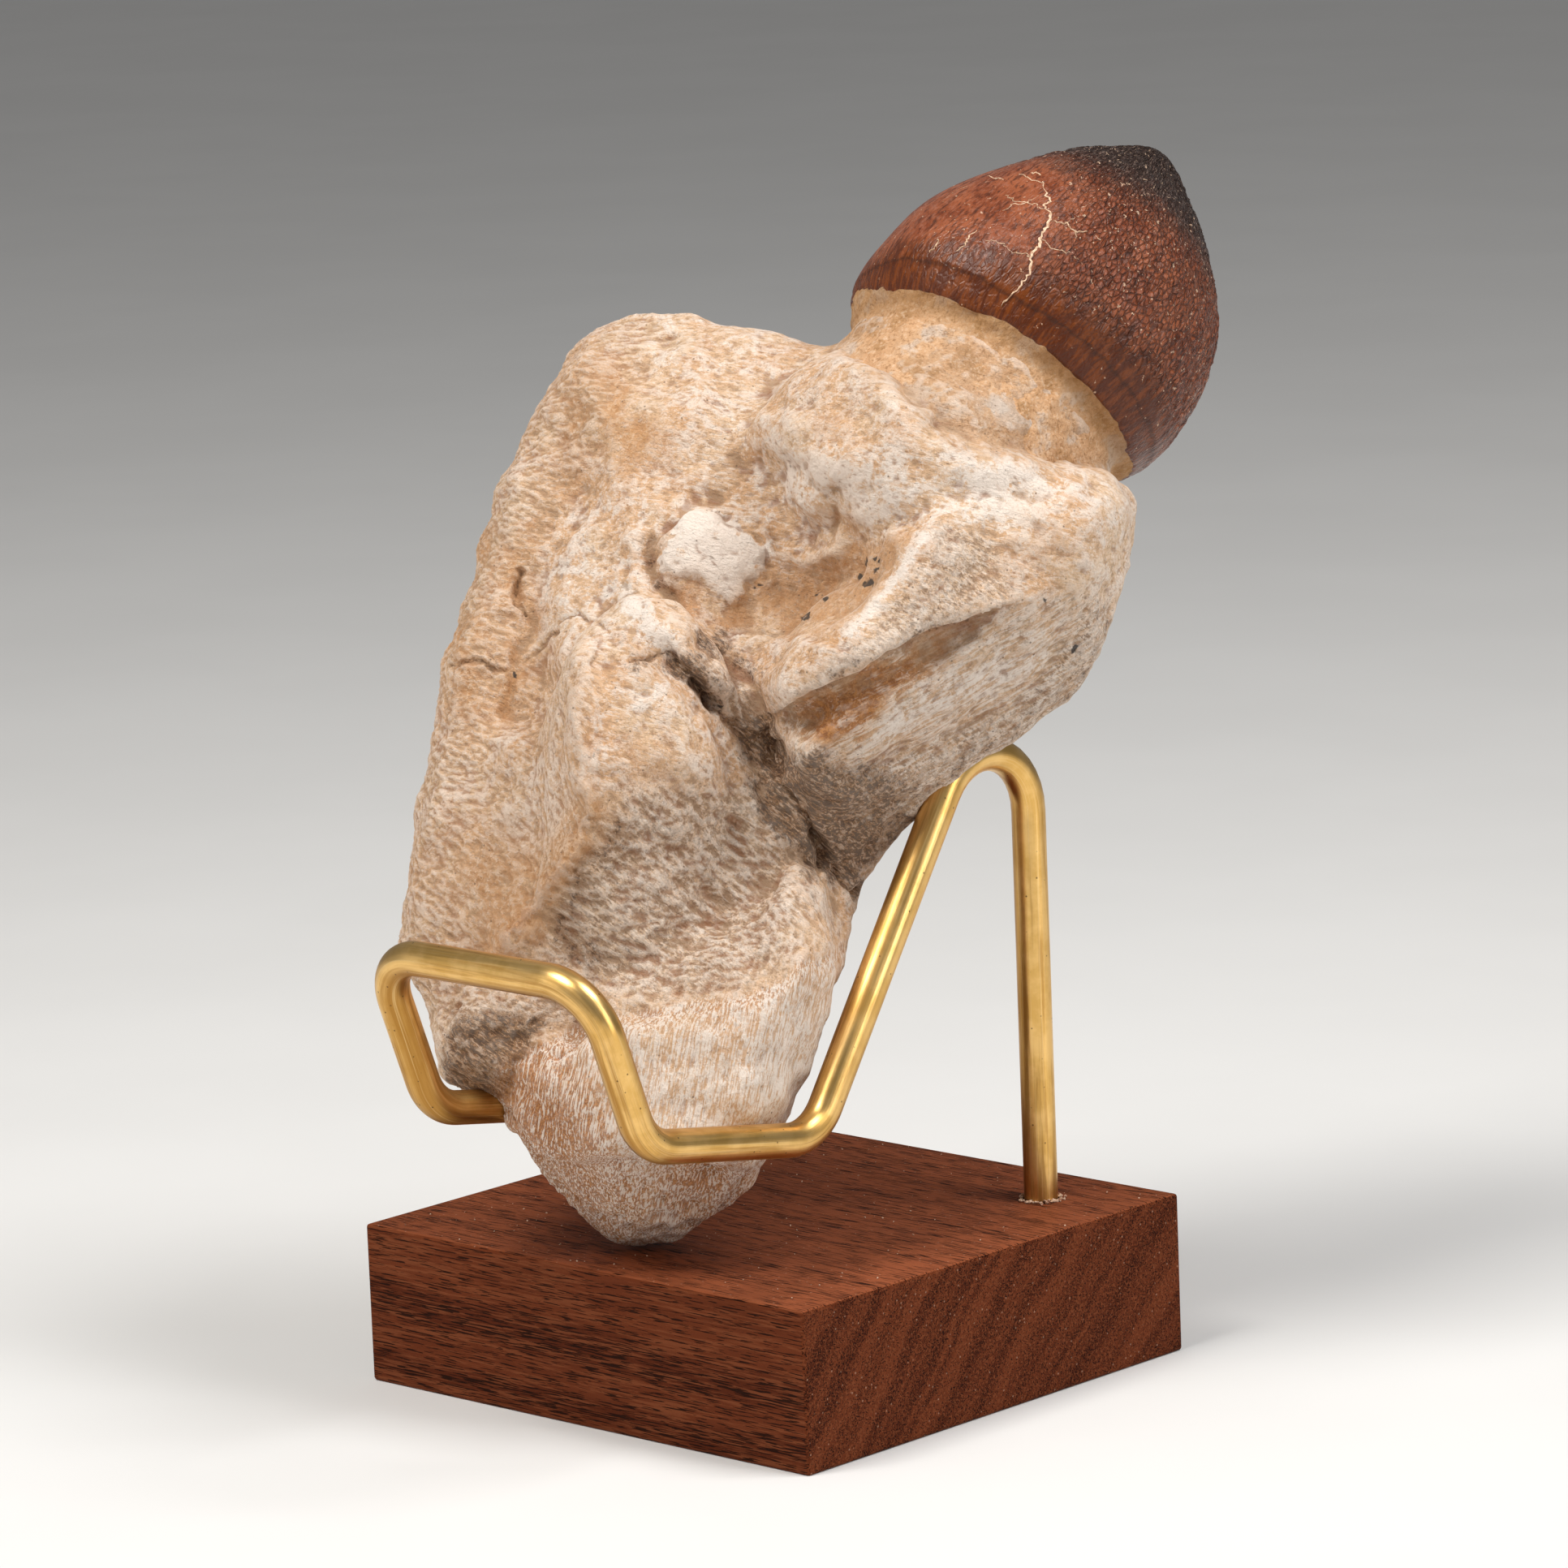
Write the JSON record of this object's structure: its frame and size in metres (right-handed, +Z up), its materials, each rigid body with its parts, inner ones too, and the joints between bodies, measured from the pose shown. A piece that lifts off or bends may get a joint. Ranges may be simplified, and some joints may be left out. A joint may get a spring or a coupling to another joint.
{
  "type": "fossil mosasaur jaw on stand",
  "caption": "Broken fossil jaw bone with a domed crushing tooth, leaning in a bent brass rod stand on a walnut block.",
  "frame": {"origin": "centre of the walnut block's underside", "axes": "+Z up, X along the front bar of the stand, the stand's hooks face -Y"},
  "size_m": [0.0764, 0.1108, 0.1408],
  "materials": {
    "bone": "dry porous fossil bone, cream with rust stains",
    "enamel": "satin chestnut enamel over a sandy root",
    "brass": "satin, lightly tarnished",
    "walnut": "oiled, matt"
  },
  "bodies": {
    "root": {"jaw_bone": "bone", "tooth": "enamel", "wire_stand": "brass", "base": "walnut"}
  },
  "joints": []
}
